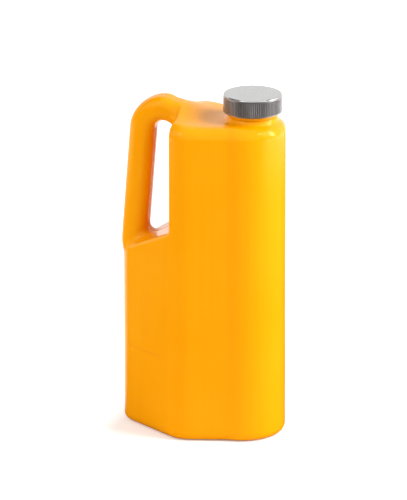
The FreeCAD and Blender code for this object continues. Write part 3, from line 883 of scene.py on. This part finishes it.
    def fill_root(self, shell: bpy.types.Object) -> None:
        """Fill the hollow where the handle's arch lands on the top, without thinning the arch.

        A trial copy is smoothed all over the root. Only where that moves the skin outwards is
        the shell smoothed too.

        Args:
            shell: the shell to change.
        """
        centre = Vector(self.root_centre)
        root = shell.vertex_groups.new(name="arch_root")
        for vertex in shell.data.vertices:
            share = 1 - (vertex.co - centre).length / self.root_reach
            clear = (vertex.co.xy - self.neck_axis.xy).length - self.root_neck
            if share > 0 and clear > 0:
                weight = min(1.0, self.root_rise * share, clear / self.root_neck_fade)
                root.add([vertex.index], weight, "REPLACE")
        trial = duplicate(shell, "root_trial")
        apply_modifier(trial, "SMOOTH", "flow", factor=self.flow, iterations=self.root_rounds,
                       vertex_group="arch_root")
        hollow = shell.vertex_groups.new(name="hollow")
        for before, after in zip(shell.data.vertices, trial.data.vertices):
            outward = (after.co - before.co).dot(before.normal)
            if outward > self.hollow_least:
                hollow.add([before.index], min(1.0, outward / self.hollow_full), "REPLACE")
        bpy.data.objects.remove(trial)
        apply_modifier(shell, "SMOOTH", "root_flow", factor=self.flow,
                       iterations=self.root_rounds, vertex_group="hollow")

    def bead(self, shell: bpy.types.Object, name: str, plane: tuple[Triple, Triple],
             left_out: Callable[[Vector], bool], radius: float) -> bpy.types.Object:
        """A thin bead along the cut of a plane through the shell, half sunk in it.

        Args:
            shell: the finished shell.
            name: the bead's name.
            plane: a point of the plane and its normal.
            left_out: whether the bead leaves out a place of the cut.
            radius: the bead's radius.

        Returns:
            The bead as a closed mesh.
        """
        bead = duplicate(shell, name)
        edit(bead)
        bpy.ops.mesh.select_all(action="SELECT")
        bpy.ops.mesh.bisect(plane_co=plane[0], plane_no=plane[1])
        bpy.ops.mesh.select_all(action="INVERT")
        bpy.ops.mesh.delete(type="VERT")
        select_vertices(bead, left_out)
        bpy.ops.mesh.delete(type="VERT")
        bpy.ops.mesh.select_all(action="SELECT")
        bpy.ops.mesh.delete(type="ONLY_FACE")
        pick(bead)
        bpy.ops.object.convert(target="CURVE")
        bead.data.bevel_depth = radius
        bead.data.bevel_resolution = self.bead_resolution
        bead.data.use_fill_caps = True
        bpy.ops.object.convert(target="MESH")
        pick(bead)
        bpy.ops.object.shade_smooth()
        return bead

    def parting_line(self, shell: bpy.types.Object) -> bpy.types.Object:
        """The fine raised line that the two mould halves leave round the can.

        Args:
            shell: the finished shell.

        Returns:
            The line.
        """
        rear, front = (self.neck_axis.x + end for end in self.line_gap)
        return self.bead(
            shell, "parting_line", ((0.0, 0.0, 0.0), (0.0, 1.0, 0.0)),
            lambda place: (rear < place.x < front and place.z > self.line_gap_foot)
            or place.z < self.line_foot, self.line_radius)

    def level_rib(self, shell: bpy.types.Object) -> bpy.types.Object:
        """The short level rib across each rear flank.

        Args:
            shell: the finished shell.

        Returns:
            Both ribs as one piece.
        """
        rear, front = self.rib_span
        return self.bead(
            shell, "level_rib", ((0.0, 0.0, self.rib_level), UP),
            lambda place: not rear < place.x < front or abs(place.y) < self.rib_aside,
            self.rib_radius)

    def neck(self) -> bpy.types.Object:
        """The collar's upper part and the threaded neck, closed at the foot.

        Returns:
            The neck.
        """
        neck = copy_of("can_body", "threaded_neck")
        edit(neck)
        bpy.ops.mesh.select_all(action="SELECT")
        bpy.ops.mesh.bisect(plane_co=(0, 0, self.cut_height - self.neck_sink), plane_no=UP,
                            clear_inner=True)
        handle_end = self.neck_axis.x - self.neck_reach
        select_vertices(neck, lambda place: place.x < handle_end)
        bpy.ops.mesh.delete(type="VERT")
        bpy.ops.mesh.select_mode(type="EDGE")
        bpy.ops.mesh.select_all(action="DESELECT")
        bpy.ops.mesh.select_non_manifold()
        bpy.ops.mesh.bridge_edge_loops()
        bpy.ops.mesh.select_all(action="SELECT")
        bpy.ops.mesh.normals_make_consistent(inside=False)
        leave_edit()
        smooth(neck, self.neck_shading)
        return neck

    def build(self, finish: bpy.types.Material) -> list[bpy.types.Object]:
        """Make, dress and place all of the moulded can.

        Args:
            finish: the polyethylene.

        Returns:
            Its pieces.
        """
        skin = self.skin()
        shell = self.soften(skin)
        pieces = [shell, self.parting_line(shell), self.level_rib(shell), self.neck()]
        bpy.data.objects.remove(skin)
        for piece in pieces:
            give(piece, finish)
            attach(piece, Body.CAN.value)
        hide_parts("can_body")
        return pieces


# ----------------------------------------------------------------------------- cap and arrester


@dataclass
class Fittings:
    """The cap, its relief valve and the flame arrester: their own solids, but for the spring."""

    neck_axis: Vector
    spring_shading: float = 50.0

    def valve_spring(self, finish: bpy.types.Material) -> bpy.types.Object:
        """Show the relief spring as a smoothly shaded copy that rides on the lift body.

        Args:
            finish: the pressed steel.

        Returns:
            The spring.
        """
        spring = copy_of("relief_spring", "valve_spring")
        smooth(spring, self.spring_shading)
        give(spring, finish)
        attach(spring, Body.LIFT.value)
        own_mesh(spring)
        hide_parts("relief_spring")
        return spring

    def dress(self, shop: Workshop) -> list[bpy.types.Object]:
        """Give every remaining solid its finish.

        Args:
            shop: the workshop with the shared groups.

        Returns:
            The solids and the spring.
        """
        axis = (self.neck_axis.x, self.neck_axis.y, 0.0)
        # The cap's side walls get painted shade.
        cap = TurnedSteel("turned_cap_steel", axis, painted_wall_shade=0.5).make(shop)
        pressed = TurnedSteel(
            "pressed_steel", axis, colour=(0.58, 0.575, 0.57, 1.0),
            dull=(0.4, 0.395, 0.39, 1.0), roughness=0.3, rings=1400.0,
            ring_height=0.08).make(shop)
        rubber = PlainFinish(
            "nitrile_rubber", colour=(0.018, 0.018, 0.019, 1.0),
            dust=(0.07, 0.068, 0.065, 1.0), roughness=0.6).make(shop)
        flange = PlainFinish(
            "natural_polyethylene", colour=(0.8, 0.79, 0.75, 1.0),
            dust=(0.66, 0.64, 0.6, 1.0), roughness=0.42).make(shop)
        gauze = WireGauze("wire_gauze", axis).make(shop)
        finishes = {
            "cap_shell": cap, "guide_pin": pressed, "pin_clip": pressed,
            "slip_washer": pressed, "seal_plate": pressed, "arrester_tube": pressed,
            "arrester_end_cup": pressed, "seal_ring": rubber, "arrester_oring": rubber,
            "arrester_flange": flange, "arrester_gauze": gauze,
        }
        for node, finish in finishes.items():
            give(frame["nodes"][node], finish)
        return [frame["nodes"][node] for node in finishes] + [self.valve_spring(pressed)]


# ----------------------------------------------------------------------------------- the studio


@dataclass(frozen=True)
class Lamp:
    """One soft rectangular lamp that faces the can, placed by angles as in Studio.toward."""

    name: str
    azimuth: float
    elevation: float
    distance: float
    size: Span
    power: float


@dataclass(frozen=True)
class Flag:
    """A dark flag that the cap's rounded rim mirrors as a short dash, between two angles."""

    name: str
    start: float
    end: float


@dataclass
class Studio:
    """A pale floor, soft lamps, dark cards for the metal to mirror, and the camera."""

    turn: float = math.radians(18.0)
    pitch: float = 0.311567
    distance: float = 4.4434
    aside: float = 33.03 * MM
    down: float = -153.66 * MM
    aim: Triple = (34.3 * MM, 0.0, 0.0)
    lens: float = 371.1
    clip_end: float = 20.0

    lamps: tuple[Lamp, ...] = (Lamp("key", 77.0, 32.0, 1.6, (0.9, 1.3), 38.5),
                               Lamp("fill", -66.0, 33.0, 1.8, (1.3, 1.2), 15.8))
    lamp_aim: Triple = (0.0, 0.0, 0.15)

    dark: Colour = (0.03, 0.03, 0.03, 1.0)
    flags: tuple[Flag, ...] = (Flag("dark_flag_left", -53.0, -24.0),
                               Flag("dark_flag_right", 25.0, 39.0))
    flag_tilts: tuple[float, ...] = tuple(8.0 + 6.0 * index for index in range(11))
    flag_distance: float = 1.2
    rim_middle: Triple = (43.0 * MM, 0.0, 0.298)

    # The dark sheet: towards the camera it goes on to its end, and elsewhere out to its reach.
    sheet_half: float = 6.0
    sheet_height: float = 1.0 * MM
    sheet_centre: float = 1.0 * MM
    sheet_front: float = -4.0
    sheet_front_edge: Span = (0.3, 0.62)
    sheet_middle: float = 20.0
    sheet_gap_edge: Span = (-0.74, -0.58)
    sheet_reach: Span = (0.8, 1.1)

    # The floor glows less near the foot, where the can's shadow is kept.
    floor_size: float = 30.0
    floor_drop: float = 0.05 * MM
    paint: Colour = (0.9, 0.9, 0.9, 1.0)
    foot_core: Triple = (50.0 * MM, 30.0 * MM, 0.0)
    glow_edge: Span = (20.0 * MM, 47.0 * MM)
    glow: Span = (0.18, 0.62)
    sky: float = 0.55
    sky_seen: float = 0.45

    def axes(self) -> tuple[Vector, Vector, Vector]:
        """The camera's axes.

        Returns:
            Its right, up and backward directions.
        """
        sin_a, cos_a = math.sin(self.turn), math.cos(self.turn)
        sin_p, cos_p = math.sin(self.pitch), math.cos(self.pitch)
        return (Vector((cos_a, sin_a, 0.0)), Vector((-sin_a * sin_p, cos_a * sin_p, cos_p)),
                Vector((sin_a * cos_p, -cos_a * cos_p, sin_p)))

    def camera(self) -> None:
        """Place the camera."""
        right, up, back = self.axes()
        data = bpy.data.cameras.new("camera")
        data.lens = self.lens
        data.clip_end = self.clip_end
        camera = add_object("camera", data)
        place = Vector(self.aim) - right * self.aside - up * self.down + back * self.distance
        turn = Matrix((right, up, back)).transposed().to_4x4()
        camera.matrix_world = Matrix.Translation(place) @ turn
        bpy.context.scene.camera = camera

    def toward(self, azimuth: float, elevation: float) -> Vector:
        """A direction from the can, by its angle from the camera's side and its height.

        Args:
            azimuth: degrees, 0 towards the camera and positive to its right.
            elevation: degrees above the floor.

        Returns:
            The direction, of length 1.
        """
        around = self.turn + math.radians(azimuth)
        rise = math.radians(elevation)
        return Vector((math.sin(around) * math.cos(rise), -math.cos(around) * math.cos(rise),
                       math.sin(rise)))

    def light(self, plan: Lamp) -> None:
        """Add one lamp.

        Args:
            plan: what it is and where it stands.
        """
        data = bpy.data.lights.new(plan.name, "AREA")
        data.shape = "RECTANGLE"
        data.size, data.size_y = plan.size
        data.energy = plan.power
        lamp = add_object(plan.name, data)
        way = self.toward(plan.azimuth, plan.elevation)
        lamp.location = Vector(self.lamp_aim) + way * plan.distance
        lamp.rotation_euler = way.to_track_quat("Z", "Y").to_euler()

    def card(self, name: str, corners: Iterable[Vector]) -> bpy.types.Object:
        """Add a dark card that only mirrors can see.

        Args:
            name: its name.
            corners: its corners in order.

        Returns:
            The card.
        """
        mesh = bpy.data.meshes.new(name)
        points = [tuple(corner) for corner in corners]
        mesh.from_pydata(points, [], [tuple(range(len(points)))])
        card = add_object(name, mesh)
        material = bpy.data.materials.new(name)
        material.use_nodes = True
        tree = Tree(material.node_tree)
        tree.finish(tree.node("ShaderNodeEmission", None, Color=self.dark, Strength=1.0))
        mesh.materials.append(material)
        card.visible_camera = False
        card.visible_diffuse = False
        card.visible_shadow = False
        return card

    def dark_ground(self) -> None:
        """Lay a soft-edged dark sheet that only mirrors can see, so the flanks keep their colour.

        It reaches far out towards the camera and a metre out elsewhere, but for a gap behind.
        """
        half = self.sheet_half
        corners = [Vector((x, y, self.sheet_height)) for x, y in (
            (-half, -half), (half, -half), (half, half), (-half, half))]
        sheet = self.card("dark_ground", corners)
        tree = Tree(sheet.data.materials[0].node_tree)
        flat = tree.place(ACROSS)
        reach = tree.vector("LENGTH", flat)

        def facing(azimuth: float) -> bpy.types.NodeSocket:
            """How far a place lies towards a direction: 1 straight there, -1 opposite."""
            along = tree.vector("DOT_PRODUCT", flat, self.toward(azimuth, 0.0))
            return tree.math("DIVIDE", along, tree.math("ADD", reach, self.sheet_centre))

        front = tree.ramp(facing(self.sheet_front), *self.sheet_front_edge)
        near = tree.math("MULTIPLY", tree.ramp(facing(self.sheet_middle), *self.sheet_gap_edge),
                         tree.ramp(reach, *self.sheet_reach, 1.0, 0.0))
        dark = tree.node("ShaderNodeEmission", None, Color=self.dark, Strength=1.0)
        clear = tree.node("ShaderNodeBsdfTransparent")
        both = tree.node("ShaderNodeMixShader", None, Fac=tree.math("MAXIMUM", front, near))
        tree.feed(both, 1, clear.outputs[0])
        tree.feed(both, 2, dark.outputs[0])
        tree.finish(both)

    def rim_flag(self, plan: Flag) -> None:
        """Hang one dark flag where the cap's rim mirrors it towards the camera.

        Args:
            plan: its name, and where its dash begins and ends on the rim, as in `toward`.
        """
        eye = self.axes()[2]
        corners = []
        for around, tilts in ((plan.start, self.flag_tilts), (plan.end, self.flag_tilts[::-1])):
            for tilt in tilts:
                normal = self.toward(around, tilt)
                way = 2 * normal.dot(eye) * normal - eye
                corners.append(Vector(self.rim_middle) + way * self.flag_distance)
        self.card(plan.name, corners)

    def seen(self, tree: Tree) -> bpy.types.NodeSocket:
        """Tell the rays that see or mirror a surface from those that it lights things by.

        Args:
            tree: the tree that asks.

        Returns:
            The socket of a value that is 1 where the surface is seen or mirrored.
        """
        path = tree.node("ShaderNodeLightPath")
        mirrored = tree.math("MAXIMUM", path.outputs["Is Glossy Ray"],
                             path.outputs["Is Transmission Ray"])
        return tree.math("MAXIMUM", path.outputs["Is Camera Ray"], mirrored)

    def floor(self) -> None:
        """Add the pale floor, which keeps the can's shadow."""
        deselect()
        bpy.ops.mesh.primitive_plane_add(size=self.floor_size,
                                         location=(0, 0, -self.floor_drop))
        floor = bpy.context.object
        floor.name = "floor"
        material = bpy.data.materials.new("pale_floor")
        material.use_nodes = True
        tree = Tree(material.node_tree)
        paint = tree.node("ShaderNodeBsdfDiffuse", None, Color=self.paint)
        outside = tree.vector("ABSOLUTE", tree.place(ACROSS))
        beyond = tree.vector("MAXIMUM", tree.vector("SUBTRACT", outside, self.foot_core))
        lift = tree.ramp(tree.vector("LENGTH", beyond), *self.glow_edge, *self.glow)
        glow = tree.node("ShaderNodeEmission", None, Color=WHITE,
                         Strength=tree.math("MULTIPLY", self.seen(tree), lift))
        both = tree.node("ShaderNodeAddShader")
        tree.feed(both, 0, paint.outputs[0])
        tree.feed(both, 1, glow.outputs[0])
        tree.finish(both)
        give(floor, material)

    def world(self) -> None:
        """A plain sky that is white where it is seen or mirrored."""
        world = bpy.data.worlds.new("studio")
        bpy.context.scene.world = world
        world.use_nodes = True
        tree = Tree(world.node_tree)
        strength = tree.sum(self.sky, (self.seen(tree), self.sky_seen))
        tree.finish(tree.node("ShaderNodeBackground", None, Color=WHITE, Strength=strength),
                    "ShaderNodeOutputWorld")

    def build(self) -> None:
        """Set up the whole studio."""
        self.camera()
        self.floor()
        self.world()
        for plan in self.lamps:
            self.light(plan)
        self.dark_ground()
        for plan in self.flags:
            self.rim_flag(plan)
        bpy.context.scene.view_settings.view_transform = "Standard"


def main() -> None:
    """Build the can and the studio, and log each piece with its face count and material."""
    logging.basicConfig(level=logging.INFO, format="%(name)s: %(message)s")
    low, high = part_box("cap_shell")
    axis = (low + high) / 2
    Studio().build()
    shop = Workshop()
    pieces = MouldedCan(axis).build(MouldedPolyethylene().make(shop))
    pieces += Fittings(axis).dress(shop)
    for piece in pieces:
        LOG.info("%s: %d faces in %s", piece.name, len(piece.data.polygons),
                 piece.material_slots[0].material.name)
    bpy.context.view_layer.update()


if __name__ == "__main__":
    main()
